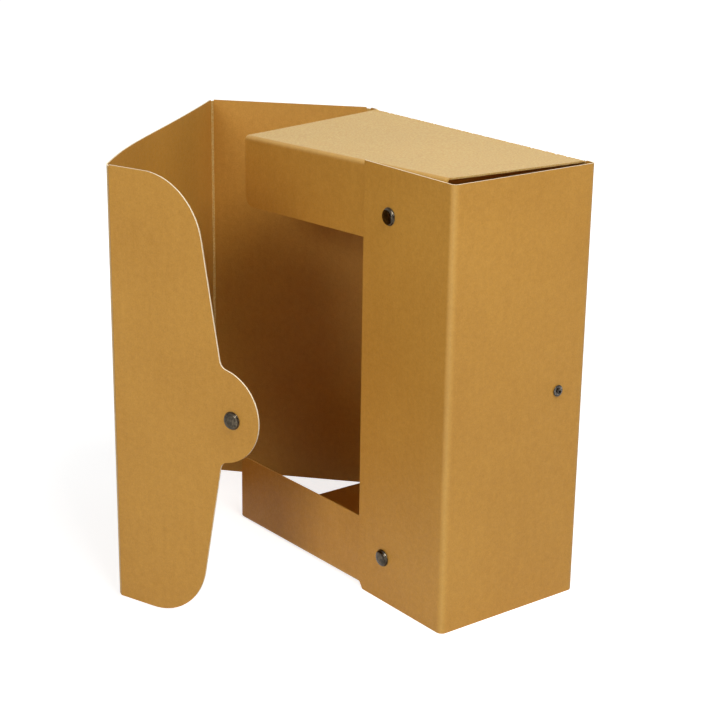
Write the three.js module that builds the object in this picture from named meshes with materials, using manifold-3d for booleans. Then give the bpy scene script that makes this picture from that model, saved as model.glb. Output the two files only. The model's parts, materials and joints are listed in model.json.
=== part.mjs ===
// Project file box of creased board, standing upright with its wrap-round lid open.
// One blank makes the case: front strip, spine, back wall, and a top and a bottom flap whose tucks
// are riveted behind the strip. A side panel, a front cover and a closing flap with a snap tab
// follow on from the back wall. Millimetres, +Z up.

import * as THREE from 'three';
import { mergeVertices } from 'three/addons/utils/BufferGeometryUtils.js';
import Module from 'manifold-3d';

const wasm = await Module();
wasm.setup();

// Case, measured over the outside of the board
const HEIGHT = 330;
const WIDTH = 262;
const DEPTH = 131;
const BOARD = 1.2;
const STRIP_WIDTH = 98;
const STRIP_CHAMFER_X = 5;
const STRIP_CHAMFER_Z = 7;
const SPINE_FOLD_RADIUS = 4;

// Top and bottom flaps with their tucks
const END_FOLD_RADIUS = 2.4;
const TUCK_HEIGHT = 55;
const TUCK_CORNER_RADIUS = 9;
const TOP_FLAP_INSET = 11;
const BOTTOM_FLAP_INSET = 3;
const SPINE_SIDE_INSET = 10;
const DIE_SLIT = 1;
const FLAP_LAP = 6;

// How far the front edge of each end flap stands off square, at its left and right ends
const TOP_FRONT_LIFT = [-7.8, 2.8];
const BOTTOM_FRONT_LIFT = [0, 4];

// Lid: side panel, front cover and closing flap
const LID_FOOT_CLEARANCE = 4;
const LID_FRONT_CLEARANCE = 0.9;
const COVER_BOW = 4.6;
const COVER_BOW_SKEW = 2.3;
const FLAP_END_WIDTH = 75;
const FLAP_WAIST_WIDTH = 104;
const FLAP_CORNER_RADIUS = 50;
const TAB_RADIUS = 34.5;
const TAB_BEYOND_SNAP = 22.5;
const TAB_ROOT_RADIUS = 7;

// Angles turned from flat board, with the lid open as it stands
const SIDE_ANGLE = 41.65;
const COVER_ANGLE = 90;
const CLOSING_ANGLE = 67.35;

// Fasteners
const CAP_RADIUS = 6.6;
const CAP_HEIGHT = 1.8;
const POST_RADIUS = 1.7;
const RIVET_FROM_SPINE = 69;
const RIVET_FROM_END = 35;
const BASE_RADIUS = 5;
const BASE_FLANGE = 0.8;
const BASE_COLLAR = 1.2;
const BASE_COLLAR_RADIUS = 3.2;
const SNAP_FROM_FRONT = 104;
const SNAP_HEIGHT = 165.5;
const STUD_RADIUS = 4.9;
const STUD_FLANGE = 0.8;
const KNOB_RADIUS = 2.2;
const KNOB_HOLE_RADIUS = 0.9;
const EYELET_RADIUS = 4.8;
const EYELET_BARREL_RADIUS = 1.2;
const SOCKET_RADIUS = 6;
const SOCKET_DEPTH = 2;
const SOCKET_BASE = 0.5;
const SOCKET_RING_OUTER = 4.4;
const SOCKET_RING_INNER = 2.9;

// Clearances
const GAP = 0.3;
const OVERCUT = 1;

// Fineness of the curved forms
const FOLD_STEPS = 6;
const BOW_STEPS = 24;
const ARC_STEPS = 16;
const ROUND_SEGMENTS = 32;

// Places worked out from the sizes
const HALF = BOARD / 2;
const HINGE_GAP = HALF + GAP;
const TUCK_LINE = BOARD + GAP + HALF;
const SIDE_CREASE = new THREE.Vector2(HALF, DEPTH - HALF);
const SNAP_STACK = GAP + STUD_FLANGE + GAP + SOCKET_DEPTH + GAP;
const CLOSED_COVER_LINE = -(GAP + CAP_HEIGHT + LID_FRONT_CLEARANCE + HALF);
const SIDE_LENGTH = SIDE_CREASE.y - CLOSED_COVER_LINE;
const COVER_LENGTH = WIDTH + SNAP_STACK;
const SNAP_ALONG_FLAP = SNAP_FROM_FRONT - CLOSED_COVER_LINE;
const RIVET_X = WIDTH - RIVET_FROM_SPINE;
const RIVET_HEIGHTS = { upper: HEIGHT - RIVET_FROM_END, lower: RIVET_FROM_END };
const BOARD_HOLE_RADIUS = POST_RADIUS + GAP;
const STUD_HOLE_RADIUS = EYELET_BARREL_RADIUS + GAP;

const vec = (x, y) => new THREE.Vector2(x, y);
const X = new THREE.Vector3(1, 0, 0);
const Y = new THREE.Vector3(0, 1, 0);
const Z = new THREE.Vector3(0, 0, 1);

// Closed solids for the cuts and joins
function toSolid(geometry) {
  const bare = geometry.clone();
  bare.deleteAttribute('normal');
  bare.deleteAttribute('uv');
  const merged = mergeVertices(bare, 1e-4);
  const mesh = new wasm.Mesh({
    numProp: 3,
    vertProperties: new Float32Array(merged.attributes.position.array),
    triVerts: new Uint32Array(merged.index.array),
  });
  return new wasm.Manifold(mesh);
}

function toGeometry(solid) {
  const { vertProperties, triVerts } = solid.getMesh();
  const geometry = new THREE.BufferGeometry();
  geometry.setAttribute('position', new THREE.BufferAttribute(vertProperties, 3));
  geometry.setIndex(new THREE.BufferAttribute(triVerts, 1));
  geometry.computeVertexNormals();
  return geometry;
}

function combine(base, joined, cutters) {
  let solid = toSolid(base);
  for (const geometry of joined) {
    solid = solid.add(toSolid(geometry));
  }
  for (const geometry of cutters) {
    solid = solid.subtract(toSolid(geometry));
  }
  return toGeometry(solid);
}

// A centre line through right-angled folds, each rounded to one radius
function foldedLine(corners, radius) {
  const line = [corners[0]];
  for (let i = 1; i < corners.length - 1; i += 1) {
    const back = corners[i - 1].clone().sub(corners[i]).setLength(radius);
    const ahead = corners[i + 1].clone().sub(corners[i]).setLength(radius);
    const centre = corners[i].clone().add(back).add(ahead);
    for (let k = 0; k <= FOLD_STEPS; k += 1) {
      const turn = (k / FOLD_STEPS) * Math.PI / 2;
      const point = centre.clone();
      point.addScaledVector(ahead, -Math.cos(turn));
      point.addScaledVector(back, -Math.sin(turn));
      line.push(point);
    }
  }
  line.push(corners[corners.length - 1]);
  return line;
}

// The board's section along a centre line, with a rounded first end where it turns in a crease
function boardSection(line, roundStart = false) {
  const left = [];
  const right = [];
  line.forEach((point, i) => {
    const before = line[Math.max(i - 1, 0)];
    const after = line[Math.min(i + 1, line.length - 1)];
    const along = after.clone().sub(before).setLength(HALF);
    left.push(vec(point.x - along.y, point.y + along.x));
    right.push(vec(point.x + along.y, point.y - along.x));
  });
  const outline = [...right, ...left.reverse()];
  if (roundStart) {
    const start = outline[outline.length - 1].clone().sub(line[0]).angle();
    for (let k = 1; k < FOLD_STEPS; k += 1) {
      const angle = start + (k / FOLD_STEPS) * Math.PI;
      outline.push(vec(line[0].x + HALF * Math.cos(angle), line[0].y + HALF * Math.sin(angle)));
    }
  }
  return new THREE.Shape(outline);
}

function upright(shape, bottom, top) {
  const geometry = new THREE.ExtrudeGeometry(shape, { depth: top - bottom, bevelEnabled: false });
  return geometry.translate(0, 0, bottom);
}

// Extrudes an outline drawn in Y and Z along X
function alongX(shape, from, to) {
  const geometry = new THREE.ExtrudeGeometry(shape, { depth: to - from, bevelEnabled: false });
  geometry.applyMatrix4(new THREE.Matrix4().makeBasis(Y, Z, X));
  return geometry.translate(from, 0, 0);
}

// Extrudes an outline drawn in X and Z from one Y to another
function alongY(shape, from, to, curveSegments = ARC_STEPS) {
  const options = { depth: to - from, bevelEnabled: false, curveSegments };
  const geometry = new THREE.ExtrudeGeometry(shape, options);
  geometry.applyMatrix4(new THREE.Matrix4().makeBasis(X, Z, Y.clone().negate()));
  return geometry.translate(0, to, 0);
}

// Cutter for a round hole, along Y unless told otherwise
function hole(radius, length, x, y, z, axis = 'y') {
  const geometry = new THREE.CylinderGeometry(radius, radius, length, ROUND_SEGMENTS);
  if (axis === 'x') {
    geometry.rotateZ(Math.PI / 2);
  }
  return geometry.translate(x, y, z);
}

// Shifts an end flap's front edge up or down, more or less along its width
function liftFront(geometry, lift, leftEnd) {
  const position = geometry.attributes.position;
  const rightEnd = WIDTH - SPINE_SIDE_INSET;
  for (let i = 0; i < position.count; i += 1) {
    const forward = (DEPTH - position.getY(i)) / (DEPTH - TUCK_LINE);
    const across = (position.getX(i) - leftEnd) / (rightEnd - leftEnd);
    const rise = lift[0] + (lift[1] - lift[0]) * across;
    position.setZ(i, position.getZ(i) + rise * Math.min(forward, 1));
  }
  return geometry;
}

// End flap and tuck, from the back wall forward over the end of the case; side is 1 at the top
function endFlap(side, inset, lift) {
  const level = (distance) => (side > 0 ? HEIGHT - distance : distance);
  const section = boardSection(foldedLine([
    vec(SIDE_CREASE.y, level(HALF + END_FOLD_RADIUS + DIE_SLIT + FLAP_LAP)),
    vec(SIDE_CREASE.y, level(HALF)),
    vec(TUCK_LINE, level(HALF)),
    vec(TUCK_LINE, level(TUCK_HEIGHT)),
  ], END_FOLD_RADIUS));
  return liftFront(alongX(section, inset, WIDTH - SPINE_SIDE_INSET), lift, inset);
}

// Takes the free corner off a tuck, leaving a quarter round
function tuckCorner(side, inset, lift) {
  const edge = side > 0 ? HEIGHT - TUCK_HEIGHT : TUCK_HEIGHT;
  const radius = TUCK_CORNER_RADIUS;
  const shape = new THREE.Shape();
  shape.moveTo(inset - OVERCUT, edge - side * OVERCUT);
  shape.lineTo(inset + radius, edge - side * OVERCUT);
  shape.lineTo(inset + radius, edge);
  shape.absarc(inset + radius, edge + side * radius, radius, -side * Math.PI / 2, Math.PI, side > 0);
  shape.lineTo(inset - OVERCUT, edge + side * radius);
  return liftFront(alongY(shape, TUCK_LINE - BOARD, TUCK_LINE + BOARD), lift, inset);
}

// Opening in the top or bottom of the back wall that an end flap is folded out of
function flapSlit(side, inset) {
  const reach = END_FOLD_RADIUS + HALF + DIE_SLIT;
  const low = side > 0 ? HEIGHT - reach : -OVERCUT;
  const high = side > 0 ? HEIGHT + OVERCUT : reach;
  const from = inset - DIE_SLIT;
  const to = WIDTH - SPINE_SIDE_INSET + DIE_SLIT;
  const slit = new THREE.BoxGeometry(to - from, 2 * BOARD, high - low);
  return slit.translate((from + to) / 2, SIDE_CREASE.y, (low + high) / 2);
}

function stripChamfer() {
  const left = WIDTH - STRIP_WIDTH;
  const slope = STRIP_CHAMFER_X / STRIP_CHAMFER_Z;
  const shape = new THREE.Shape([
    vec(left - OVERCUT, -OVERCUT),
    vec(left + STRIP_CHAMFER_X + OVERCUT * slope, -OVERCUT),
    vec(left - OVERCUT, STRIP_CHAMFER_Z + OVERCUT / slope),
  ]);
  return alongY(shape, -OVERCUT, BOARD + GAP / 2);
}

// The case: strip, spine and back wall in one wrap, with the end flaps and their tucks
function boxBody() {
  const wrap = upright(boardSection(foldedLine([
    vec(WIDTH - STRIP_WIDTH, HALF),
    vec(WIDTH - HALF, HALF),
    vec(WIDTH - HALF, SIDE_CREASE.y),
    vec(SIDE_CREASE.x + HINGE_GAP, SIDE_CREASE.y),
  ], SPINE_FOLD_RADIUS)), 0, HEIGHT);
  const cutWrap = combine(wrap, [], [
    stripChamfer(),
    flapSlit(1, TOP_FLAP_INSET),
    flapSlit(-1, BOTTOM_FLAP_INSET),
  ]);
  const rivetReach = 4 * TUCK_LINE;
  return combine(cutWrap, [
    endFlap(1, TOP_FLAP_INSET, TOP_FRONT_LIFT),
    endFlap(-1, BOTTOM_FLAP_INSET, BOTTOM_FRONT_LIFT),
  ], [
    tuckCorner(1, TOP_FLAP_INSET, TOP_FRONT_LIFT),
    tuckCorner(-1, BOTTOM_FLAP_INSET, BOTTOM_FRONT_LIFT),
    hole(BOARD_HOLE_RADIUS, rivetReach, RIVET_X, 0, RIVET_HEIGHTS.upper),
    hole(BOARD_HOLE_RADIUS, rivetReach, RIVET_X, 0, RIVET_HEIGHTS.lower),
    hole(STUD_HOLE_RADIUS, 4 * BOARD, WIDTH, SNAP_FROM_FRONT, SNAP_HEIGHT, 'x'),
  ]);
}

// Lid panels lie along their own +X from the crease, with +Y on the inside
function sidePanel() {
  const line = [vec(0, 0), vec(SIDE_LENGTH - HINGE_GAP, 0)];
  return upright(boardSection(line, true), 0, HEIGHT);
}

// The cover bellies outward towards its free crease
function frontCover() {
  const line = [];
  for (let k = 0; k <= BOW_STEPS; k += 1) {
    const share = (k / BOW_STEPS) * (1 - HINGE_GAP / COVER_LENGTH);
    const bow = COVER_BOW * Math.sin(Math.PI * share ** COVER_BOW_SKEW);
    line.push(vec(share * COVER_LENGTH, -bow));
  }
  return upright(boardSection(line, true), LID_FOOT_CLEARANCE, HEIGHT);
}

// Point and bearing where a small fillet touches a straight edge and the round tab
function rootFillet(edgePoint, edgeAlong, tab) {
  const outward = vec(-edgeAlong.y, edgeAlong.x);
  const base = edgePoint.clone().addScaledVector(outward, TAB_ROOT_RADIUS);
  const toTab = tab.clone().sub(base);
  const along = toTab.dot(edgeAlong);
  const aside = toTab.dot(outward);
  const reach = Math.sqrt((TAB_RADIUS + TAB_ROOT_RADIUS) ** 2 - aside ** 2);
  const centre = base.addScaledVector(edgeAlong, along - reach);
  return { centre, tabBearing: centre.clone().sub(tab).angle() };
}

// Closing flap: straight along the crease, round corners, sloping edges and a round tab
function flapOutline() {
  const middle = (LID_FOOT_CLEARANCE + HEIGHT) / 2;
  const half = (HEIGHT - LID_FOOT_CLEARANCE) / 2;
  const slope = vec(FLAP_WAIST_WIDTH - FLAP_END_WIDTH, -half).normalize();
  const lean = Math.atan2(slope.x, -slope.y);
  const radius = FLAP_CORNER_RADIUS;
  const cornerX = FLAP_END_WIDTH - radius * Math.tan((Math.PI / 2 - lean) / 2);
  const tab = vec(SNAP_ALONG_FLAP + TAB_BEYOND_SNAP - TAB_RADIUS, 0);
  const root = rootFillet(vec(FLAP_END_WIDTH, half), slope, tab);
  const bearing = root.tabBearing;
  const shape = new THREE.Shape();
  shape.moveTo(0, middle - half);
  shape.lineTo(cornerX, middle - half);
  shape.absarc(cornerX, middle - half + radius, radius, -Math.PI / 2, -lean, false);
  shape.absarc(root.centre.x, middle - root.centre.y, TAB_ROOT_RADIUS, Math.PI - lean,
    Math.PI - bearing, true);
  shape.absarc(tab.x, middle, TAB_RADIUS, -bearing, bearing, false);
  shape.absarc(root.centre.x, middle + root.centre.y, TAB_ROOT_RADIUS, Math.PI + bearing,
    Math.PI + lean, true);
  shape.absarc(cornerX, middle + half - radius, radius, lean, Math.PI / 2, false);
  shape.lineTo(0, middle + half);
  return shape;
}

function closingFlap() {
  const plate = alongY(flapOutline(), -HALF, HALF);
  const length = HEIGHT - LID_FOOT_CLEARANCE;
  const bead = new THREE.CylinderGeometry(HALF, HALF, length, 2 * FOLD_STEPS);
  bead.rotateX(Math.PI / 2);
  bead.translate(0, 0, LID_FOOT_CLEARANCE + length / 2);
  const post = hole(BOARD_HOLE_RADIUS, 4 * BOARD, SNAP_ALONG_FLAP, 0, SNAP_HEIGHT);
  return combine(plate, [bead], [post]);
}

// Fasteners are turned about +Y, which points out of the board from its outer face at y = 0
function turned(profile) {
  const points = profile.map(([radius, height]) => vec(radius, height));
  return new THREE.LatheGeometry(points, ROUND_SEGMENTS);
}

// Domed cap on a solid post that ends below the board
function domedCap(postEnd) {
  const rim = GAP + CAP_HEIGHT * 0.25;
  const profile = [[0, postEnd], [POST_RADIUS, postEnd], [POST_RADIUS, GAP]];
  profile.push([CAP_RADIUS - 0.5 * (rim - GAP), GAP]);
  for (let k = 0; k <= FOLD_STEPS; k += 1) {
    const turn = (k / FOLD_STEPS) * Math.PI / 2;
    profile.push([CAP_RADIUS * Math.cos(turn), rim + (GAP + CAP_HEIGHT - rim) * Math.sin(turn)]);
  }
  profile[profile.length - 1][0] = 0;
  return turned(profile);
}

// Flanged base pressed onto the rivet's post inside the case
function rivetBase() {
  const seat = -(TUCK_LINE + HALF + GAP);
  const bore = POST_RADIUS + GAP;
  const flange = seat - BASE_FLANGE;
  return turned([
    [bore, flange - BASE_COLLAR],
    [BASE_COLLAR_RADIUS, flange - BASE_COLLAR],
    [BASE_COLLAR_RADIUS, flange],
    [BASE_RADIUS, flange],
    [BASE_RADIUS, seat],
    [bore, seat],
    [bore, flange - BASE_COLLAR],
  ]);
}

// Socket on the inside of the closing flap, with a raised ring that takes the stud's knob
function snapSocket() {
  const seat = -(BOARD + GAP);
  const base = seat - SOCKET_BASE;
  const bore = POST_RADIUS + GAP;
  return turned([
    [bore, base],
    [SOCKET_RING_INNER, base],
    [SOCKET_RING_INNER, seat - SOCKET_DEPTH],
    [SOCKET_RING_OUTER, seat - SOCKET_DEPTH],
    [SOCKET_RING_OUTER, base],
    [SOCKET_RADIUS, base],
    [SOCKET_RADIUS, seat],
    [bore, seat],
    [bore, base],
  ]);
}

// Stud on the spine: a flange with a waisted knob, open through its middle
function snapStud() {
  const flange = GAP + STUD_FLANGE;
  const knob = flange + SOCKET_DEPTH - SOCKET_BASE;
  const waist = KNOB_RADIUS - GAP;
  const bore = EYELET_BARREL_RADIUS + GAP;
  return turned([
    [bore, GAP],
    [STUD_RADIUS, GAP],
    [STUD_RADIUS, flange - GAP],
    [STUD_RADIUS - GAP, flange],
    [waist, flange],
    [waist, flange + GAP],
    [KNOB_RADIUS, knob - 2 * GAP],
    [waist, knob],
    [KNOB_HOLE_RADIUS, knob],
    [KNOB_HOLE_RADIUS, flange + GAP],
    [bore, flange + GAP],
    [bore, GAP],
  ]);
}

// Eyelet that holds the stud from inside the spine
function snapEyelet() {
  const seat = -(BOARD + GAP);
  return turned([
    [0, seat - SOCKET_BASE],
    [EYELET_RADIUS, seat - SOCKET_BASE],
    [EYELET_RADIUS, seat],
    [EYELET_BARREL_RADIUS, seat],
    [EYELET_BARREL_RADIUS, GAP + STUD_FLANGE],
    [0, GAP + STUD_FLANGE],
  ]);
}

function board(name, geometry, color) {
  const mesh = new THREE.Mesh(geometry, new THREE.MeshStandardMaterial({
    color, roughness: 0.8, metalness: 0,
  }));
  mesh.name = name;
  return mesh;
}

function metal(name, geometry, color) {
  const mesh = new THREE.Mesh(geometry, new THREE.MeshStandardMaterial({
    color, roughness: 0.35, metalness: 1,
  }));
  mesh.name = name;
  return mesh;
}

// Assembly: three nested groups turn the lid panels about their creases
const degrees = THREE.MathUtils.degToRad;
const model = new THREE.Group();
const sideGroup = new THREE.Group();
sideGroup.position.set(SIDE_CREASE.x, SIDE_CREASE.y, 0);
sideGroup.rotation.z = Math.PI + degrees(SIDE_ANGLE);
const coverGroup = new THREE.Group();
coverGroup.position.x = SIDE_LENGTH;
coverGroup.rotation.z = degrees(COVER_ANGLE);
const flapGroup = new THREE.Group();
flapGroup.position.x = COVER_LENGTH;
flapGroup.rotation.z = degrees(CLOSING_ANGLE);
model.add(board('box_body', boxBody(), 0xb98a45), sideGroup);
sideGroup.add(board('side_panel', sidePanel(), 0xb38440), coverGroup);
coverGroup.add(board('front_cover', frontCover(), 0xb38440), flapGroup);
flapGroup.add(board('closing_flap', closingFlap(), 0xb58a48));

// Two cap rivets through the strip and the tucks
const rivetPostEnd = -(TUCK_LINE + HALF + GAP + BASE_FLANGE + BASE_COLLAR - GAP);
for (const [end, height] of Object.entries(RIVET_HEIGHTS)) {
  const cap = metal(`${end}_rivet_cap`, domedCap(rivetPostEnd), 0x5a4c3c);
  const base = metal(`${end}_rivet_base`, rivetBase(), 0x6a5c48);
  for (const piece of [cap, base]) {
    piece.position.set(RIVET_X, 0, height);
    piece.rotation.x = Math.PI;
    model.add(piece);
  }
}

// Snap fastener: cap and socket on the closing flap, stud and eyelet on the spine
const snapCap = metal('snap_cap', domedCap(-(BOARD + GAP + SOCKET_BASE)), 0x5a4c3c);
const snapSocketMesh = metal('snap_socket', snapSocket(), 0x6a5c48);
for (const piece of [snapCap, snapSocketMesh]) {
  piece.position.set(SNAP_ALONG_FLAP, -HALF, SNAP_HEIGHT);
  piece.rotation.x = Math.PI;
  flapGroup.add(piece);
}
const snapStudMesh = metal('snap_stud', snapStud(), 0x6a6258);
const snapEyeletMesh = metal('snap_eyelet', snapEyelet(), 0x6a6258);
for (const piece of [snapStudMesh, snapEyeletMesh]) {
  piece.position.set(WIDTH, SNAP_FROM_FRONT, SNAP_HEIGHT);
  piece.rotation.z = -Math.PI / 2;
  model.add(piece);
}

// The finished group stands on z = 0 with its outline centred over the origin
const fileBox = new THREE.Group();
fileBox.add(model);
fileBox.updateMatrixWorld(true);
const outline = new THREE.Box3().setFromObject(fileBox, true);
const centre = outline.getCenter(new THREE.Vector3());
model.position.set(-centre.x, -centre.y, -outline.min.z);
fileBox.updateMatrixWorld(true);

export default fileBox;
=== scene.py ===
import json
import math
import random

import bmesh
import bpy
from mathutils import Matrix, Vector

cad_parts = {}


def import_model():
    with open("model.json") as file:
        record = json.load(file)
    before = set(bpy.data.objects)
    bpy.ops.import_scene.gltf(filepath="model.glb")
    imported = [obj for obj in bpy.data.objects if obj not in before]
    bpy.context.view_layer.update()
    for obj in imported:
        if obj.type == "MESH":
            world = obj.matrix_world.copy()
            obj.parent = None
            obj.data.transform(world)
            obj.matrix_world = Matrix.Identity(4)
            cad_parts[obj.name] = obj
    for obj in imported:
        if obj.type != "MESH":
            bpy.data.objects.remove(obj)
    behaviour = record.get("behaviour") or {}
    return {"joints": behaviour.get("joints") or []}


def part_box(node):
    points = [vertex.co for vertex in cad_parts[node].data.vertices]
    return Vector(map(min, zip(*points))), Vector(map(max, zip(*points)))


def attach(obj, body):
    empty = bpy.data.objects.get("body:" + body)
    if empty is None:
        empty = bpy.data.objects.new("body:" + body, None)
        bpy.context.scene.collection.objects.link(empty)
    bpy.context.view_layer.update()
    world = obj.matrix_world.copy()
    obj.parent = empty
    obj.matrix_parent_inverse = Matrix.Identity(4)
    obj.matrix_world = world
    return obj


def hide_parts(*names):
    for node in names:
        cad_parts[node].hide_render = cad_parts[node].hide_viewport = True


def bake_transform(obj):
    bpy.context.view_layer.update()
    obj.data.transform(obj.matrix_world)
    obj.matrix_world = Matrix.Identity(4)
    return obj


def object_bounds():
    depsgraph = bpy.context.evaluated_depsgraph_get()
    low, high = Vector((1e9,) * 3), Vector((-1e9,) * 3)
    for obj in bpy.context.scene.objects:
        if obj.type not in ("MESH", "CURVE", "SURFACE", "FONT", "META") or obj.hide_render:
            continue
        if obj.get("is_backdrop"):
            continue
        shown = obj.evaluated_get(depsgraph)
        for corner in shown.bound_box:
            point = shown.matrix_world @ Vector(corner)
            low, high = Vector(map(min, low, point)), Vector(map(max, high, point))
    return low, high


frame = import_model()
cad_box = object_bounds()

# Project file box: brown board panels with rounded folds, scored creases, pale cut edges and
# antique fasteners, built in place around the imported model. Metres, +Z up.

MM = 0.001

# Board and folds
HALF = 0.6 * MM
SPINE_FOLD = 4.0 * MM
END_FOLD = 2.4 * MM
FOLD_STEPS = 8
FOLD_GUARD = 1.2 * MM

# The sheets' slow ripple, and the distances over which it dies away: from a free end, a rim, a
# case fold, an end flap's fold and a lid crease
RIPPLE = 0.35 * MM
CALM_END = 8 * MM
CALM_RIM = 20 * MM
CALM_FOLD = 12 * MM
CALM_FLAP = 9 * MM
CALM_LID = 15 * MM

# Cell sizes of the flat sheets, along and up
SHEET_CELL = 14 * MM
LID_CELL = (9 * MM, 16 * MM)
FLAP_CELL = 12 * MM
TORN_CELL = 0.9 * MM
PLAIN_CELL = 3 * MM

# Lid creases: a flat facet between two scores, with a notch at its top
FACET = 2.2 * MM
FOLD_REACH = 2.5 * MM
SCORE_ROUND = 0.15 * MM
NOTCH = 1.0 * MM

# Top back fold: how far it swells, and how far that reaches down the back and over the top
FOLD_SWELL = 0.25 * MM
SWELL_DOWN = 2.6 * MM
SWELL_OVER = 5.0 * MM
CREST_SHARE = 0.12

# Nicks along it: where they start, then spacing, half width and depths in millimetres, and the
# fraying between them
NICK_START = 6 * MM
NICK_SPACING = (5, 20)
NICK_WIDTH = (0.8, 1.9)
NICK_DEPTHS = (0.5, 0.9, 1.9, 2.6)
FRAY = 0.22 * MM

# How much paler the folds are painted (wear plus a painted highlight), and the top flap (a painted
# sheen), from 0 to 1
CASE_FOLD_WEAR_AND_HIGHLIGHT = 0.28
FLAP_FOLD_WEAR_AND_HIGHLIGHT = 0.4
TOP_PAINTED_SHEEN = 0.8

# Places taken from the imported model
case_low, case_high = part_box("box_body")
joints = {joint["name"]: joint for joint in frame["joints"]}
SIDE_CREASE = Vector(joints["side_crease"]["pos_m"])
COVER_CREASE = Vector(joints["cover_crease"]["pos_m"])
CLOSING_CREASE = Vector(joints["closing_crease"]["pos_m"])
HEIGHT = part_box("side_panel")[1].z
LID_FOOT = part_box("front_cover")[0].z
CASE_LEFT = SIDE_CREASE.x - HALF
FRONT = case_low.y
WIDTH = case_high.x - CASE_LEFT
DEPTH = case_high.y - FRONT

# Case details
STRIP_WIDTH = 98 * MM
STRIP_CHAMFER = (5 * MM, 7 * MM)
TUCK_LINE = 2.1 * MM
TUCK_HEIGHT = 55 * MM
TUCK_CORNER = 9 * MM
TOP_INSET = 11 * MM
BOTTOM_INSET = 3 * MM
SPINE_SIDE_INSET = 10 * MM
SLIT = 0.4 * MM

# Rise of the end flaps' front edges, at their left and right ends
TOP_LIFT = (-7.8 * MM, 2.8 * MM)
BOTTOM_LIFT = (0.0, 4 * MM)

# Lid details
COVER_BOW = 4.6 * MM
BOW_SKEW = 2.3
FLAP_END_WIDTH = 75 * MM
FLAP_WAIST_WIDTH = 104 * MM
FLAP_CORNER = 50 * MM
TAB_RADIUS = 34.5 * MM
TAB_BEYOND_SNAP = 22.5 * MM
TAB_ROOT = 7 * MM

# Fasteners
RIVET_FROM_SPINE = 69 * MM
RIVET_FROM_END = 35 * MM
BOARD_HOLE = 2.0 * MM
STUD_HOLE = 1.5 * MM
SNAP_HEIGHT = (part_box("snap_stud")[0].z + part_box("snap_stud")[1].z) / 2
SNAP_FROM_FRONT = (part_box("snap_stud")[0].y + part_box("snap_stud")[1].y) / 2 - FRONT
LID_STAND_OFF = 3.6 * MM
SNAP_ALONG_FLAP = SNAP_FROM_FRONT + LID_STAND_OFF
SMOOTH_BELOW = math.radians(38)

# The photograph's view
VIEW_AZIMUTH = math.radians(52.41)
VIEW_ELEVATION = math.radians(18.36)
VIEW_ROLL = math.radians(0.854)
VIEW_FROM = Vector((1.04073, -0.72628, 0.58381))
FOCAL_PIXELS = 1750.24
PICTURE_PIXELS = 720
SENSOR = 36
CLIP_END = 50

# Studio: the point the lamps face, the world's light, the floor's paint and its lift towards
# white on camera, then the lamps as name, place, size and power
CENTRE = Vector((0.02, 0.02, 0.17))
WORLD_LIGHT = 0.03
FLOOR_HALF_SIZE = 12
FLOOR_PAINT = 0.6
FLOOR_LIFT = 0.79
FLOOR_LIFT_NEAR = 0.35
FLOOR_LIFT_FAR = 1.1
LAMPS = [
    ("high", (1.6, -0.26, 2.09), 0.85, 26.0),
    ("top", (0.78, -0.11, 2.55), 1.0, 1.7),
    ("over", (1.12, 0.42, 2.38), 1.0, 17.5),
    ("front", (1.12, -2.05, 1.03), 0.85, 24.2),
    ("back", (-1.66, 1.19, 1.6), 1.9, 1.2),
    ("behind", (-0.41, 1.19, 2.34), 1.5, 8.3),
]


# An output socket that takes part in arithmetic
class Value:
    def __init__(self, nodes, socket):
        self.nodes = nodes
        self.socket = socket

    def __add__(self, other):
        return self.nodes.math("ADD", self, other)

    def __sub__(self, other):
        return self.nodes.math("SUBTRACT", self, other)

    def __mul__(self, other):
        return self.nodes.math("MULTIPLY", self, other)

    __radd__ = __add__
    __rmul__ = __mul__


def pick(sockets, name):
    if isinstance(name, int):
        return sockets[name]
    return next(s for s in sockets if s.enabled and name in (None, s.name))


# One node tree, built from calls that each give back an output of the new node
class Nodes:
    def __init__(self, tree):
        self.tree = tree
        tree.nodes.clear()

    def node(self, kind, settings=None, inputs=None, output=None):
        node = self.tree.nodes.new(kind)
        for name, setting in (settings or {}).items():
            setattr(node, name, setting)
        for name, value in (inputs or {}).items():
            socket = pick(node.inputs, name)
            if isinstance(value, Value):
                self.tree.links.new(value.socket, socket)
            else:
                socket.default_value = value
        return Value(self, pick(node.outputs, output)) if node.outputs else node

    def math(self, operation, first, second):
        return self.node("ShaderNodeMath", {"operation": operation}, {0: first, 1: second})


class Shader(Nodes):
    def __init__(self, tree):
        super().__init__(tree)
        self.coords = None

    def noise(self, scale, detail=3, roughness=0.5, stretch=(1, 1, 1)):
        if self.coords is None:
            self.coords = self.node("ShaderNodeTexCoord", output="Object")
        mapped = self.node("ShaderNodeMapping", inputs={"Vector": self.coords, "Scale": stretch})
        return self.node("ShaderNodeTexNoise", inputs={
            "Vector": mapped, "Scale": scale, "Detail": detail, "Roughness": roughness,
        })

    def between(self, value, low, high):
        return self.node("ShaderNodeMapRange", inputs={
            "Value": value, "From Min": low, "From Max": high,
        })

    def mix(self, factor, first, second, kind="RGBA"):
        return self.node("ShaderNodeMix", {"data_type": kind}, {
            "Factor": factor, "A": first, "B": second,
        })

    def attribute(self, name):
        return self.node("ShaderNodeAttribute", {"attribute_name": name}, output="Fac")

    def bump(self, height, strength, distance):
        return self.node("ShaderNodeBump", inputs={
            "Height": height, "Strength": strength, "Distance": distance,
        })

    def background_rays(self):
        rays = [self.node("ShaderNodeLightPath", output=f"Is {kind} Ray")
                for kind in ("Camera", "Glossy", "Transmission")]
        return self.math("MAXIMUM", self.math("MAXIMUM", rays[0], rays[1]), rays[2])

    def surface(self, **inputs):
        named = {key.replace("_", " "): value for key, value in inputs.items()}
        shader = self.node("ShaderNodeBsdfPrincipled", inputs=named)
        self.node("ShaderNodeOutputMaterial", inputs={"Surface": shader})


def new_material(name):
    material = bpy.data.materials.new(name)
    material.use_nodes = True
    return material, Shader(material.node_tree)


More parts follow.
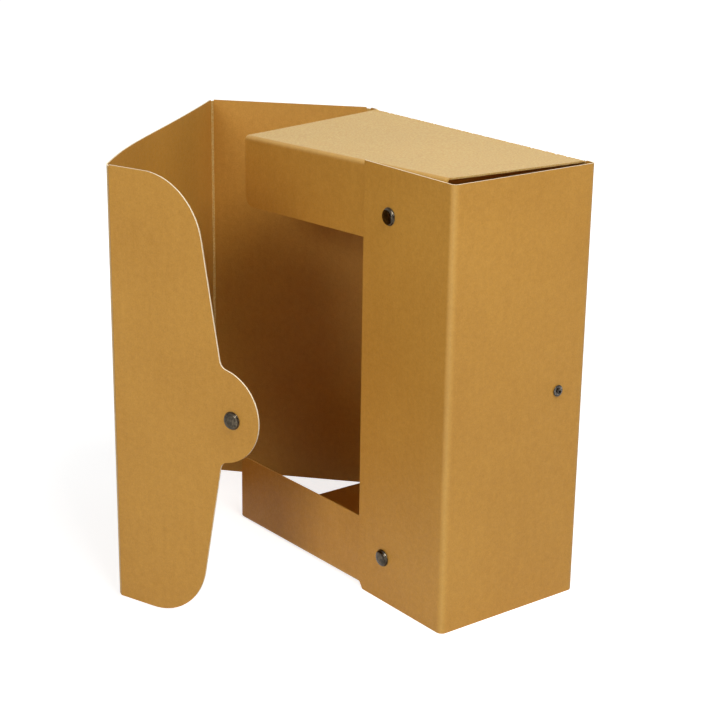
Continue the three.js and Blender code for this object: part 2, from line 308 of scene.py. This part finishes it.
def rgb(red, green, blue):
    return (red, green, blue, 1.0)


# Brown board: cloudy tone, mottled fibres, flecks, folds painted paler (wear plus a painted
# highlight), a top flap painted paler (a painted sheen) and scores painted darker (pressing plus
# painted shade)
BOARD_DARK = rgb(0.520, 0.248, 0.035)
BOARD_LIGHT = rgb(0.634, 0.322, 0.054)


def board_material():
    material, s = new_material("brown_board")
    cloud = s.noise(9, 3)
    mottle = s.noise(230, 4, 0.6)
    fibre = s.noise(850, 3, 0.65)
    streak = s.noise(260, 3, 0.6, (1, 1, 0.08))
    fleck = s.between(s.noise(1000, 2, 0.55), 0.60, 0.72)
    wear_and_painted_light = s.attribute("wear_and_painted_light")
    tone = cloud * 0.30 + mottle * 0.24 + fibre * 0.36 + streak * 0.10
    colour = s.mix(s.between(tone, 0.38, 0.62), BOARD_DARK, BOARD_LIGHT)
    colour = s.mix(fleck * 0.2, colour, rgb(0.29, 0.14, 0.035))
    raised = s.between(s.noise(700, 3, 0.6), 0.42, 0.58)
    # Above 0 the board is painted towards pale yellow: wear and torn core at the folds with a
    # painted highlight there, and a painted sheen over the whole top flap
    wear_and_light = s.between(wear_and_painted_light, 0, 1)
    pale = wear_and_light * (0.45 + wear_and_light * (raised - 0.5) * 0.6)
    colour = s.mix(pale, colour, rgb(0.78, 0.66, 0.30))
    # Below 0 it is painted darker along the pressed scores: painted shade in the grooves, with the
    # pressed board
    colour = s.mix(s.between(wear_and_painted_light, 0, -1) * 0.45, colour, rgb(0.27, 0.125, 0.03))
    height = fibre * 0.5 + mottle * 0.3 + raised * 0.2
    s.surface(
        Base_Color=colour,
        Roughness=0.40 + fibre * 0.12 + raised * 0.12,
        Specular_IOR_Level=0.35,
        Normal=s.bump(height, 0.5, 0.0003),
    )
    return material


# Cut edges show the pale core of the board in thin plies
def edge_material():
    material, s = new_material("cut_edge")
    plies = s.noise(700, 2, 0.5, (1, 1, 0.3))
    colour = s.mix(plies, rgb(0.88, 0.70, 0.43), rgb(1.0, 0.90, 0.70))
    s.surface(Base_Color=colour, Roughness=0.8, Specular_IOR_Level=0.2,
              Normal=s.bump(plies, 0.3, 0.0003))
    return material


# Antique plating: dark, rubbed brighter in patches and along fine scratches
def antique_material(name, dark, bright, gloss):
    material, s = new_material(name)
    patches = s.between(s.noise(520, 4, 0.6), 0.44, 0.66)
    scratch_one = s.between(s.noise(1500, 2, 0.5, (1, 0.12, 1.2)), 0.60, 0.66)
    scratch_two = s.between(s.noise(1300, 2, 0.5, (0.9, 1.0, 0.10)), 0.62, 0.68)
    rubbed = patches * 0.5 + scratch_one * 0.35 + scratch_two * 0.35
    s.surface(
        Base_Color=s.mix(rubbed, dark, bright),
        Metallic=1.0,
        Roughness=gloss + patches * 0.12,
        Coat_Weight=0.25,
        Coat_Roughness=0.08,
        Normal=s.bump(scratch_one + scratch_two, 0.15, 0.0001),
    )
    return material


BOARD = board_material()
EDGE = edge_material()
CAP_METAL = antique_material("antique_cap", rgb(0.026, 0.020, 0.012), rgb(0.15, 0.12, 0.08), 0.15)
BASE_METAL = antique_material("antique_base", rgb(0.05, 0.04, 0.03), rgb(0.20, 0.17, 0.13), 0.32)
STUD_METAL = antique_material("dull_nickel", rgb(0.014, 0.011, 0.008), rgb(0.26, 0.24, 0.21), 0.16)


# Flat board outlines, cut into cells along given lines
def flat_cells(outline, holes, u_cuts, v_cuts):
    flat = bmesh.new()
    for loop in [outline, *holes]:
        corners = [flat.verts.new((u, v, 0)) for u, v in loop]
        for first, second in zip(corners, corners[1:] + corners[:1]):
            flat.edges.new((first, second))
    bmesh.ops.triangle_fill(flat, use_beauty=True, use_dissolve=False, edges=flat.edges[:])
    for axis, cuts in ((0, u_cuts), (1, v_cuts)):
        normal = Vector((1 - axis, axis, 0))
        for cut in cuts:
            everything = flat.verts[:] + flat.edges[:] + flat.faces[:]
            bmesh.ops.bisect_plane(flat, geom=everything, dist=1e-7,
                                   plane_co=normal * cut, plane_no=normal)
    for face in flat.faces:
        if face.normal.z < 0:
            face.normal_flip()
    return flat


def circle(centre, radius, count=20):
    turns = [2 * math.pi * k / count for k in range(count)]
    return [(centre[0] + radius * math.cos(a), centre[1] + radius * math.sin(a)) for a in turns]


def arc(centre, radius, start, end, count):
    turns = [start + (end - start) * k / count for k in range(count + 1)]
    return [(centre[0] + radius * math.cos(a), centre[1] + radius * math.sin(a)) for a in turns]


def spread(low, high, step):
    count = max(1, round((high - low) / step))
    return [low + (high - low) * k / count for k in range(1, count)]


def finish_mesh(name, mesh, materials):
    piece = bpy.data.objects.new(name, mesh)
    bpy.context.scene.collection.objects.link(piece)
    for material in materials:
        mesh.materials.append(material)
    return piece


# Gives a flat cut outline its thickness and its folded place. place(u, v, out) gives a point; the
# fourth argument gives how much paler (above 0: wear, torn core, painted highlight, painted sheen)
# or darker (below 0: pressed scores with painted shade) the board is painted there; and rim is the
# number of the material on the cut sides.
def board_mesh(name, flat, place, wear_and_painted_light, rim=1):
    flat.verts.index_update()
    count = len(flat.verts)
    points = []
    wear_and_light = []
    for out in (HALF, -HALF):
        for vert in flat.verts:
            points.append(place(vert.co.x, vert.co.y, out))
            wear_and_light.append(wear_and_painted_light(vert.co.x, vert.co.y))
    faces = []
    for face in flat.faces:
        ring = [vert.index for vert in face.verts]
        faces.append(ring)
        faces.append([count + index for index in reversed(ring)])
    sheet_faces = len(faces)
    for edge in flat.edges:
        if len(edge.link_faces) == 1:
            first, second = (vert.index for vert in edge.verts)
            faces.append([first, second, count + second, count + first])
    flat.free()
    mesh = bpy.data.meshes.new(name)
    mesh.from_pydata(points, [], faces)
    for polygon in mesh.polygons:
        polygon.material_index = 0 if polygon.index < sheet_faces else rim
        polygon.use_smooth = polygon.index < sheet_faces
    attribute = mesh.attributes.new("wear_and_painted_light", "FLOAT", "POINT")
    attribute.data.foreach_set("value", wear_and_light)
    solid = bmesh.new()
    solid.from_mesh(mesh)
    bmesh.ops.recalc_face_normals(solid, faces=solid.faces[:])
    for edge in solid.edges:
        kinds = {face.index < sheet_faces for face in edge.link_faces}
        edge.smooth = len(kinds) == 1
    solid.to_mesh(mesh)
    solid.free()
    return mesh


def board_piece(name, flats, node, body):
    joined = bmesh.new()
    for flat_mesh in flats:
        joined.from_mesh(flat_mesh)
    mesh = bpy.data.meshes.new(name)
    joined.to_mesh(mesh)
    joined.free()
    piece = finish_mesh(name, mesh, [BOARD, EDGE])
    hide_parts(node)
    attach(piece, body)
    return piece


# Slow ripple in the board, always towards the inside of the sheet
def ripple(u, v):
    wave = math.sin(31 * u + 1.3) * math.sin(17 * v + 0.4) + 0.6 * math.sin(23 * v - 11 * u + 2.0)
    return RIPPLE * (0.5 + 0.31 * wave)


def near(value, line, width):
    return max(0.0, 1 - abs(value - line) / width)


# A path of straight legs joined by quarter folds; gives a point along it and out from it, and its
# folds
class FoldedPath:
    def __init__(self, corners, radius):
        self.legs = []
        at = 0.0
        for k in range(len(corners) - 1):
            start, end = Vector(corners[k]), Vector(corners[k + 1])
            along = (end - start).normalized()
            if k > 0:
                start = start + along * radius
            if k < len(corners) - 2:
                end = end - along * radius
            length = (end - start).length
            self.legs.append(("leg", at, at + length, start, along))
            at += length
            if k < len(corners) - 2:
                turn = math.pi / 2 * radius
                self.legs.append(("fold", at, at + turn, end, along))
                at += turn
        self.length = at
        self.radius = radius
        first = Vector(corners[1]) - Vector(corners[0])
        second = Vector(corners[2]) - Vector(corners[1])
        self.sense = 1 if first.x * second.y - first.y * second.x > 0 else -1

    def point(self, along_path, out):
        for kind, low, high, start, along in self.legs:
            if along_path <= high or high == self.length:
                break
        inward = Vector((-along.y, along.x)) * self.sense
        if kind == "leg":
            return start + along * (along_path - low) - inward * out
        angle = (along_path - low) / self.radius
        centre = start + inward * self.radius
        away = along * math.sin(angle) - inward * math.cos(angle)
        return centre + away * (self.radius + out)

    def folds(self):
        return [(low, high) for kind, low, high, _, _ in self.legs if kind == "fold"]

    def fold_cuts(self):
        cuts = []
        for low, high in self.folds():
            cuts += [low + (high - low) * k / FOLD_STEPS for k in range(FOLD_STEPS + 1)]
            cuts += [low - FOLD_GUARD, high + FOLD_GUARD]
        return cuts


def case_point(x, y, z):
    return Vector((CASE_LEFT + x, FRONT + y, z))


# Strip, spine and back wall in one wrap
def case_wrap():
    back_end = HALF + FOLD_REACH
    path = FoldedPath([
        (WIDTH - STRIP_WIDTH, HALF), (WIDTH - HALF, HALF),
        (WIDTH - HALF, DEPTH - HALF), (back_end, DEPTH - HALF),
    ], SPINE_FOLD)
    end = path.length
    reach = END_FOLD + HALF + SLIT

    def on_back(x):
        return end - (x - back_end)

    slit_right = on_back(WIDTH - SPINE_SIDE_INSET + SLIT)
    top_left = on_back(TOP_INSET - SLIT)
    outline = [
        (0, STRIP_CHAMFER[1]), (STRIP_CHAMFER[0], 0), (slit_right, 0), (slit_right, reach),
        (end, reach), (end, HEIGHT), (top_left, HEIGHT),
        (top_left, HEIGHT - reach), (slit_right, HEIGHT - reach), (slit_right, HEIGHT), (0, HEIGHT),
    ]
    rivet_u = STRIP_WIDTH - RIVET_FROM_SPINE
    spine_u = path.folds()[0][1] + SNAP_FROM_FRONT - HALF - SPINE_FOLD
    holes = [
        circle((rivet_u, HEIGHT - RIVET_FROM_END), BOARD_HOLE),
        circle((rivet_u, RIVET_FROM_END), BOARD_HOLE),
        circle((spine_u, SNAP_HEIGHT), STUD_HOLE),
    ]
    u_cuts = path.fold_cuts() + spread(0, end, SHEET_CELL)
    flat = flat_cells(outline, holes, u_cuts, spread(0, HEIGHT, SHEET_CELL))

    def place(u, v, out):
        settle = min(1, u / CALM_END, (end - u) / CALM_END, v / CALM_RIM, (HEIGHT - v) / CALM_RIM)
        for low, high in path.folds():
            settle = min(settle, max(0.0, abs(u - (low + high) / 2) - (high - low) / 2) / CALM_FOLD)
        flat_point = path.point(u, out - ripple(u, v) * settle)
        return case_point(flat_point.x, flat_point.y, v)

    # Folds painted paler: fold wear plus a painted highlight
    def wear_and_painted_light(u, v):
        return CASE_FOLD_WEAR_AND_HIGHLIGHT * max(near(u, (low + high) / 2, (high - low) * 0.62)
                                    for low, high in path.folds())

    return board_mesh("wrap", flat, place, wear_and_painted_light)


# Nicks left along the top back fold, where the board was perforated to bend
def fold_nicks(seed, length):
    chance = random.Random(seed)
    nicks = []
    at = NICK_START
    while at < length:
        nicks.append((at, chance.uniform(*NICK_WIDTH) * MM, chance.choice(NICK_DEPTHS) * MM))
        at += chance.uniform(*NICK_SPACING) * MM

    def depth(along):
        rough = FRAY * (1 + math.sin(along * 2900) * math.sin(along * 1270 + 1))
        cut = max(near(along, place, width) * deep for place, width, deep in nicks)
        return rough + cut
    return depth


# End flap with its tuck; side is 1 at the top and -1 at the bottom
def end_flap(side, inset, lift, seed):
    reach = END_FOLD + HALF + SLIT

    def level(distance):
        return HEIGHT - distance if side > 0 else distance

    path = FoldedPath([
        (DEPTH - HALF, level(reach)), (DEPTH - HALF, level(HALF)),
        (TUCK_LINE, level(HALF)), (TUCK_LINE, level(TUCK_HEIGHT)),
    ], END_FOLD)
    left, right = inset, WIDTH - SPINE_SIDE_INSET
    end = path.length
    back_fold, front_fold = path.folds()
    corner = arc((left + TUCK_CORNER, end - TUCK_CORNER), TUCK_CORNER, math.pi / 2, math.pi, 10)
    outline = [(left, 0), (right, 0), (right, end), *corner]
    rivet_across = (WIDTH - RIVET_FROM_SPINE - left) / (right - left)
    rivet_rise = side * (lift[0] + (lift[1] - lift[0]) * rivet_across)
    rivet = (WIDTH - RIVET_FROM_SPINE, end - TUCK_HEIGHT + RIVET_FROM_END + rivet_rise)
    depth = fold_nicks(seed, right - left)
    u_cuts = spread(left, right, TORN_CELL if side > 0 else PLAIN_CELL)
    v_cuts = path.fold_cuts() + spread(front_fold[1], end, SHEET_CELL)
    v_cuts += spread(back_fold[1], front_fold[0], SHEET_CELL)
    v_cuts += [back_fold[1] + share * SWELL_OVER for share in (0.12, 0.5, 0.75, 1)]
    crest = back_fold[1] - CREST_SHARE * (back_fold[1] - back_fold[0])
    swell_rise = FOLD_SWELL if side > 0 else 0.0
    flat = flat_cells(outline, [circle(rivet, BOARD_HOLE)], u_cuts, v_cuts)

    def on_top(v):
        return back_fold[1] < v < front_fold[0]

    def place(u, v, out):
        swell = near(v, crest, SWELL_OVER if v > crest else SWELL_DOWN)
        out += (swell_rise - depth(u - left)) * swell
        if on_top(v):
            from_back, from_front = v - back_fold[1], front_fold[0] - v
            out -= ripple(u, v) * min(1, from_back / CALM_FLAP, from_front / CALM_FLAP)
        y, z = path.point(v, out)
        forward = min(1.0, (DEPTH - y) / (DEPTH - TUCK_LINE))
        across = (u - left) / (right - left)
        rise = lift[0] + (lift[1] - lift[0]) * across
        return case_point(u, y, z + rise * forward)

    # Front fold painted paler (wear plus a painted highlight), torn back fold paler (torn core),
    # and the whole top flap painted paler as a painted sheen
    def wear_and_painted_light(u, v):
        wear_and_light = near(v, sum(front_fold) / 2, (front_fold[1] - front_fold[0]) * 0.7) * FLAP_FOLD_WEAR_AND_HIGHLIGHT
        if side > 0 and back_fold[0] < v < front_fold[0]:
            wear_and_light = TOP_PAINTED_SHEEN
        torn = near(v, sum(back_fold) / 2, (back_fold[1] - back_fold[0]) * 0.8)
        return max(wear_and_light, min(1.0, torn * (0.5 + depth(u - left) / (0.6 * MM))))

    return board_mesh("end_flap", flat, place, wear_and_painted_light, rim=0)


# Lid panels stand on a line from their crease; out is away from the inside of the lid
def panel_place(origin, along, bow=None):
    inside = Vector((-along.y, along.x, 0))

    def place(u, v, out):
        aside = bow(u) if bow else 0.0
        point = origin + along * u - inside * (out + aside)
        return Vector((point.x, point.y, v))
    return place


def flat_direction(start, end):
    return Vector((end.x - start.x, end.y - start.y, 0)).normalized()


def turned(direction, degrees):
    return Matrix.Rotation(math.radians(degrees), 3, "Z") @ direction


def lid_panel(name, origin, along, length, bottom, node, body, bow=None):
    low, high = FOLD_REACH, length - FOLD_REACH
    outline = [(low, bottom), (high, bottom), (high, HEIGHT), (low, HEIGHT)]
    u_cuts, v_cuts = spread(low, high, LID_CELL[0]), spread(bottom, HEIGHT, LID_CELL[1])
    flat = flat_cells(outline, [], u_cuts, v_cuts)
    lay = panel_place(origin, along, bow)

    def place(u, v, out):
        settle = min(1, (u - low) / CALM_LID, (high - u) / CALM_LID)
        return lay(u, v, out - ripple(u, v) * settle)

    mesh = board_mesh(name, flat, place, lambda u, v: 0.0)
    return board_piece(name, [mesh], node, body)


def cover_bow(u, length):
    share = max(0.0, min(1.0, u / length))
    return COVER_BOW * math.sin(math.pi * share ** BOW_SKEW)


# Outline of the closing flap: round corners, sloping edges and the snap tab
def flap_outline():
    middle = (LID_FOOT + HEIGHT) / 2
    half = (HEIGHT - LID_FOOT) / 2
    slope = Vector((FLAP_WAIST_WIDTH - FLAP_END_WIDTH, -half)).normalized()
    lean = math.atan2(slope.x, -slope.y)
    corner_x = FLAP_END_WIDTH - FLAP_CORNER * math.tan((math.pi / 2 - lean) / 2)
    tab = Vector((SNAP_ALONG_FLAP + TAB_BEYOND_SNAP - TAB_RADIUS, 0))
    outward = Vector((-slope.y, slope.x))
    base = Vector((FLAP_END_WIDTH, half)) + outward * TAB_ROOT
    to_tab = tab - base
    aside = to_tab.dot(outward)
    reach = math.sqrt((TAB_RADIUS + TAB_ROOT) ** 2 - aside ** 2)
    root = base + slope * (to_tab.dot(slope) - reach)
    bearing = math.atan2((root - tab).y, (root - tab).x)
    upper = [(tab.x + TAB_RADIUS, middle)]
    upper += arc((tab.x, middle), TAB_RADIUS, 0, bearing, 22)[1:]
    upper += arc((root.x, middle + root.y), TAB_ROOT, math.pi + bearing, math.pi + lean, 8)[1:]
    upper += arc((corner_x, middle + half - FLAP_CORNER), FLAP_CORNER, lean, math.pi / 2, 26)
    upper.append((FOLD_REACH, HEIGHT))
    lower = [(u, 2 * middle - v) for u, v in reversed(upper[1:])]
    return upper + lower


def closing_flap(origin, along):
    holes = [circle((SNAP_ALONG_FLAP, SNAP_HEIGHT), BOARD_HOLE)]
    u_cuts = spread(FOLD_REACH, TAB_RADIUS * 3, FLAP_CELL)
    flat = flat_cells(flap_outline(), holes, u_cuts, spread(LID_FOOT, HEIGHT, SHEET_CELL))
    mesh = board_mesh("closing_board", flat, panel_place(origin, along), lambda u, v: 0.0)
    return board_piece("closing_board", [mesh], "closing_flap", "closing")


# The bend itself: a flat facet between two pressed scores, bent through the angle between its
# panels
def crease_strip(name, pivot, before, angle, bottom):
    middle, after = turned(before, angle / 2), turned(before, angle)
    first, last = pivot - before * FACET, pivot + after * FACET
    # The third number paints the board: the facet paler (wear plus a painted highlight), the scores
    # darker (pressing plus painted shade)
    line = [
        (pivot - before * FOLD_REACH, before, 0.0),
        (first - before * SCORE_ROUND, before, -0.5),
        (first, turned(before, angle / 4), -1.0),
        (first + middle * SCORE_ROUND, middle, -0.4),
        (first + middle * 4 * SCORE_ROUND, middle, 0.7),
        (last - middle * 4 * SCORE_ROUND, middle, 0.7),
        (last - middle * SCORE_ROUND, middle, -0.4),
        (last, turned(before, angle * 3 / 4), -1.0),
        (last + after * SCORE_ROUND, after, -0.5),
        (pivot + after * FOLD_REACH, after, 0.0),
    ]
    top, far = HEIGHT - NOTCH, (len(line) - 1) * MM
    outline = [(0, bottom), (far, bottom), (far, top), (0, top)]
    cuts = [k * MM for k in range(1, len(line) - 1)]
    flat = flat_cells(outline, [], cuts, spread(bottom, top, LID_CELL[1]))

    def place(u, v, out):
        point, along, _ = line[round(u / MM)]
        return Vector((point.x + along.y * out, point.y - along.x * out, v))

    mesh = board_mesh(name, flat, place, lambda u, v: line[round(u / MM)][2])
    piece = finish_mesh(name, mesh, [BOARD, EDGE])
    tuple(line[0][0])
    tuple(line[-1][0])
    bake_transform(piece)
    return piece


# Fasteners are turned profiles of radius and height in millimetres, height out from the board
def spun(name, profile, place, node, body, material, segments=48):
    build = bmesh.new()
    rings = []
    for radius, height in profile:
        if radius < 1e-6:
            rings.append([build.verts.new((0, 0, height * MM))])
            continue
        ring = []
        for k in range(segments):
            a = 2 * math.pi * k / segments
            ring.append(build.verts.new((radius * MM * math.cos(a), radius * MM * math.sin(a),
                                         height * MM)))
        rings.append(ring)
    closed = profile[0] == profile[-1]
    if closed:
        for vert in rings.pop():
            build.verts.remove(vert)
        rings.append(rings[0])
    for low, high in zip(rings, rings[1:]):
        for k in range(segments):
            n = (k + 1) % segments
            if len(low) == 1:
                build.faces.new((low[0], high[n], high[k]))
            elif len(high) == 1:
                build.faces.new((low[k], low[n], high[0]))
            else:
                build.faces.new((low[k], low[n], high[n], high[k]))
    bmesh.ops.recalc_face_normals(build, faces=build.faces[:])
    for edge in build.edges:
        edge.smooth = len(edge.link_faces) < 2 or edge.calc_face_angle(0) < SMOOTH_BELOW
    for face in build.faces:
        face.smooth = True
    mesh = bpy.data.meshes.new(name)
    build.to_mesh(mesh)
    build.free()
    mesh.transform(place)
    piece = finish_mesh(name, mesh, [material])
    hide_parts(node)
    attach(piece, body)
    return piece


def facing(origin, outward):
    return Matrix.Translation(origin) @ outward.to_track_quat("Z", "Y").to_matrix().to_4x4()


def dome_profile(post_end):
    return [
        (0, post_end), (1.7, post_end), (1.7, 0.3), (6.35, 0.3), (6.55, 0.36), (6.6, 0.48),
        (6.52, 0.6), (6.34, 0.7), (6.24, 0.95), (6.12, 1.35), (5.96, 1.68), (5.7, 1.98),
        (5.3, 2.22), (4.7, 2.42), (3.7, 2.57), (2.3, 2.66), (1.1, 2.69), (0, 2.7),
    ]


RIVET_BASE = [
    (2.0, -5.0), (3.0, -5.0), (3.2, -4.85), (3.2, -3.9), (3.35, -3.8), (4.7, -3.8), (5.0, -3.6),
    (5.0, -3.2), (4.85, -3.0), (2.0, -3.0), (2.0, -5.0),
]
SOCKET = [
    (2.0, -2.0), (2.9, -2.0), (2.9, -3.2), (3.15, -3.5), (4.15, -3.5), (4.4, -3.25), (4.4, -2.1),
    (4.55, -2.0), (5.8, -2.0), (6.0, -1.85), (6.0, -1.6), (5.9, -1.5), (2.0, -1.5), (2.0, -2.0),
]
STUD = [
    (1.5, 0.3), (4.15, 0.3), (4.3, 0.45), (4.3, 0.75), (4.0, 1.02), (3.6, 1.1), (2.3, 1.1),
    (1.9, 1.25), (1.9, 1.45), (2.15, 1.75), (2.2, 2.05), (2.1, 2.4), (1.8, 2.58), (1.2, 2.6),
    (0.9, 2.45), (0.9, 1.4), (1.5, 1.4), (1.5, 0.3),
]
EYELET = [
    (0, -2.0), (4.5, -2.0), (4.8, -1.85), (4.8, -1.6), (4.7, -1.5), (1.2, -1.5), (1.2, 1.1),
    (0, 1.1),
]


def rivets():
    for end, height in (("upper", HEIGHT - RIVET_FROM_END), ("lower", RIVET_FROM_END)):
        seat = facing(case_point(WIDTH - RIVET_FROM_SPINE, 0, height), Vector((0, -1, 0)))
        spun(f"{end}_rivet_dome", dome_profile(-4.7), seat, f"{end}_rivet_cap", "case", CAP_METAL)
        spun(f"{end}_rivet_foot", RIVET_BASE, seat, f"{end}_rivet_base", "case", BASE_METAL)


def snap_fastener(flap_along):
    inside = Vector((-flap_along.y, flap_along.x, 0))
    seat_point = CLOSING_CREASE + flap_along * SNAP_ALONG_FLAP - inside * HALF
    seat_point.z = SNAP_HEIGHT
    seat = facing(seat_point, -inside)
    spun("snap_dome", dome_profile(-2.0), seat, "snap_cap", "closing", CAP_METAL)
    spun("snap_ring", SOCKET, seat, "snap_socket", "closing", BASE_METAL)
    spine = facing(case_point(WIDTH, SNAP_FROM_FRONT, SNAP_HEIGHT), Vector((1, 0, 0)))
    spun("snap_knob", STUD, spine, "snap_stud", "case", STUD_METAL)
    spun("snap_rivet", EYELET, spine, "snap_eyelet", "case", STUD_METAL)


# Torn fibres along the perforated back fold, scattered by geometry nodes
FIBRE_INPUTS = {
    "Count": "NodeSocketInt", "Start": "NodeSocketVector", "End": "NodeSocketVector",
    "Scatter": "NodeSocketFloat", "Fibre length": "NodeSocketFloat",
    "Fibre radius": "NodeSocketFloat", "Seed": "NodeSocketInt",
}


def fibre_tree(material):
    tree = bpy.data.node_groups.new("fold_fibres", "GeometryNodeTree")
    tree.interface.new_socket("Geometry", in_out="OUTPUT", socket_type="NodeSocketGeometry")
    for name, kind in FIBRE_INPUTS.items():
        tree.interface.new_socket(name, in_out="INPUT", socket_type=kind)
    g = Nodes(tree)
    given = {name: g.node("NodeGroupInput", output=name) for name in FIBRE_INPUTS}

    def chance(kind, low, high, offset):
        return g.node("FunctionNodeRandomValue", {"data_type": kind}, {
            "Min": low, "Max": high, "Seed": given["Seed"] + offset,
        })

    line = g.node("GeometryNodeMeshLine", {"mode": "END_POINTS"}, {
        "Count": given["Count"], "Start Location": given["Start"], "Offset": given["End"],
    })
    drift = g.node("ShaderNodeVectorMath", {"operation": "SCALE"}, {
        0: chance("FLOAT_VECTOR", (-1, -1, -1), (1, 0, 0.3), 1), "Scale": given["Scatter"],
    })
    scattered = g.node("GeometryNodeSetPosition", inputs={"Geometry": line, "Offset": drift})
    fibre = g.node("GeometryNodeMeshCone", inputs={
        "Vertices": 4, "Radius Top": 0, "Radius Bottom": given["Fibre radius"],
        "Depth": given["Fibre length"],
    }, output="Mesh")
    placed = g.node("GeometryNodeInstanceOnPoints", inputs={
        "Points": scattered, "Instance": fibre,
        "Rotation": chance("FLOAT_VECTOR", (-1.4, -0.9, 0), (0.5, 0.9, 6.28), 2),
        "Scale": chance("FLOAT", 0.35, 1.0, 3),
    })
    real = g.node("GeometryNodeRealizeInstances", inputs={"Geometry": placed})
    painted = g.node("GeometryNodeSetMaterial", inputs={"Geometry": real, "Material": material})
    g.node("NodeGroupOutput", inputs={"Geometry": painted})
    return tree


def fold_fibres():
    carrier = finish_mesh("fibre_carrier", bpy.data.meshes.new("fibre_carrier"), [])
    modifier = carrier.modifiers.new("fibres", "NODES")
    tree = fibre_tree(EDGE)
    modifier.node_group = tree
    values = {
        "Count": 260,
        "Start": case_point(TOP_INSET, DEPTH - END_FOLD, HEIGHT),
        "End": case_point(WIDTH - SPINE_SIDE_INSET, DEPTH - END_FOLD, HEIGHT),
        "Scatter": 0.7 * MM,
        "Fibre length": 1.0 * MM,
        "Fibre radius": 0.07 * MM,
        "Seed": 7,
    }
    for item in tree.interface.items_tree:
        if item.in_out == "INPUT":
            modifier[item.identifier] = values[item.name]
    bpy.context.view_layer.update()
    evaluated = carrier.evaluated_get(bpy.context.evaluated_depsgraph_get())
    mesh = bpy.data.meshes.new_from_object(evaluated)
    bpy.data.objects.remove(carrier)
    piece = finish_mesh("back_fold_fibres", mesh, [])
    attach(piece, "case")


# Floor, world and lamps
def floor():
    size = FLOOR_HALF_SIZE
    mesh = bpy.data.meshes.new("floor")
    mesh.from_pydata([(-size, -size, 0), (size, -size, 0), (size, size, 0), (-size, size, 0)],
                     [], [(0, 1, 2, 3)])
    material, s = new_material("pale_floor")
    grey = rgb(FLOOR_PAINT, FLOOR_PAINT, FLOOR_PAINT)
    paint = s.node("ShaderNodeBsdfDiffuse", inputs={"Color": grey})
    place = s.node("ShaderNodeTexCoord", output="Object")
    away = s.node("ShaderNodeVectorMath", {"operation": "LENGTH"}, {0: place})
    far = s.between(away, FLOOR_LIFT_NEAR, FLOOR_LIFT_FAR)
    lift = s.mix(far, FLOOR_LIFT, 1.0, "FLOAT")
    glow = s.node("ShaderNodeEmission", inputs={"Strength": s.background_rays() * lift})
    both = s.node("ShaderNodeAddShader", inputs={0: paint, 1: glow})
    s.node("ShaderNodeOutputMaterial", inputs={"Surface": both})
    finish_mesh("floor", mesh, [material])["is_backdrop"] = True


def world():
    sky = bpy.data.worlds.new("studio")
    sky.use_nodes = True
    bpy.context.scene.world = sky
    s = Shader(sky.node_tree)
    strength = s.mix(s.background_rays(), WORLD_LIGHT, 1.0, "FLOAT")
    light = s.node("ShaderNodeBackground", inputs={"Color": rgb(1, 1, 1), "Strength": strength})
    s.node("ShaderNodeOutputWorld", inputs={"Surface": light})


def lamp(name, place, size, power):
    data = bpy.data.lights.new(name, "AREA")
    data.shape = "SQUARE"
    data.size = size
    data.energy = power
    piece = bpy.data.objects.new(name, data)
    bpy.context.scene.collection.objects.link(piece)
    piece.location = place
    piece.rotation_euler = (Vector(place) - CENTRE).to_track_quat("Z", "Y").to_euler()


def camera():
    data = bpy.data.cameras.new("photo_view")
    data.sensor_width = SENSOR
    data.sensor_fit = "HORIZONTAL"
    data.lens = FOCAL_PIXELS / PICTURE_PIXELS * SENSOR
    data.clip_end = CLIP_END
    piece = bpy.data.objects.new("photo_view", data)
    bpy.context.scene.collection.objects.link(piece)
    back = Vector((
        math.sin(VIEW_AZIMUTH) * math.cos(VIEW_ELEVATION),
        -math.cos(VIEW_AZIMUTH) * math.cos(VIEW_ELEVATION),
        math.sin(VIEW_ELEVATION),
    ))
    level = Vector((math.cos(VIEW_AZIMUTH), math.sin(VIEW_AZIMUTH), 0))
    upright = back.cross(level)
    right = level * math.cos(VIEW_ROLL) + upright * math.sin(VIEW_ROLL)
    up = back.cross(right)
    turn = Matrix((right, up, back)).transposed().to_4x4()
    piece.matrix_world = Matrix.Translation(VIEW_FROM) @ turn
    bpy.context.scene.camera = piece


camera()
world()
floor()
for name, place, size, power in LAMPS:
    lamp(name, place, size, power)

board_piece("case_board", [
    case_wrap(),
    end_flap(1, TOP_INSET, TOP_LIFT, 11),
    end_flap(-1, BOTTOM_INSET, BOTTOM_LIFT, 12),
], "box_body", "case")

side_along = flat_direction(SIDE_CREASE, COVER_CREASE)
cover_along = flat_direction(COVER_CREASE, CLOSING_CREASE)
closing_turn = -joints["closing_crease"]["range_deg"][0]
flap_along = turned(cover_along, closing_turn)
side_length = (COVER_CREASE - SIDE_CREASE).length
cover_length = (CLOSING_CREASE - COVER_CREASE).length
lid_panel("side_board", SIDE_CREASE, side_along, side_length, 0, "side_panel", "side")
lid_panel("cover_board", COVER_CREASE, cover_along, cover_length, LID_FOOT, "front_cover", "cover",
          lambda u: cover_bow(u, cover_length))
closing_flap(CLOSING_CREASE, flap_along)
side_turn = -joints["side_crease"]["range_deg"][0]
cover_turn = -joints["cover_crease"]["range_deg"][0]
crease_strip("side_fold", SIDE_CREASE, Vector((-1, 0, 0)), side_turn, 0)
crease_strip("cover_fold", COVER_CREASE, side_along, cover_turn, LID_FOOT)
crease_strip("closing_fold", CLOSING_CREASE, cover_along, closing_turn, LID_FOOT)

rivets()
snap_fastener(flap_along)
fold_fibres()

bpy.context.scene.view_settings.view_transform = "Standard"

both_boxes = [[list(corner) for corner in box] for box in (cad_box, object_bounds())]
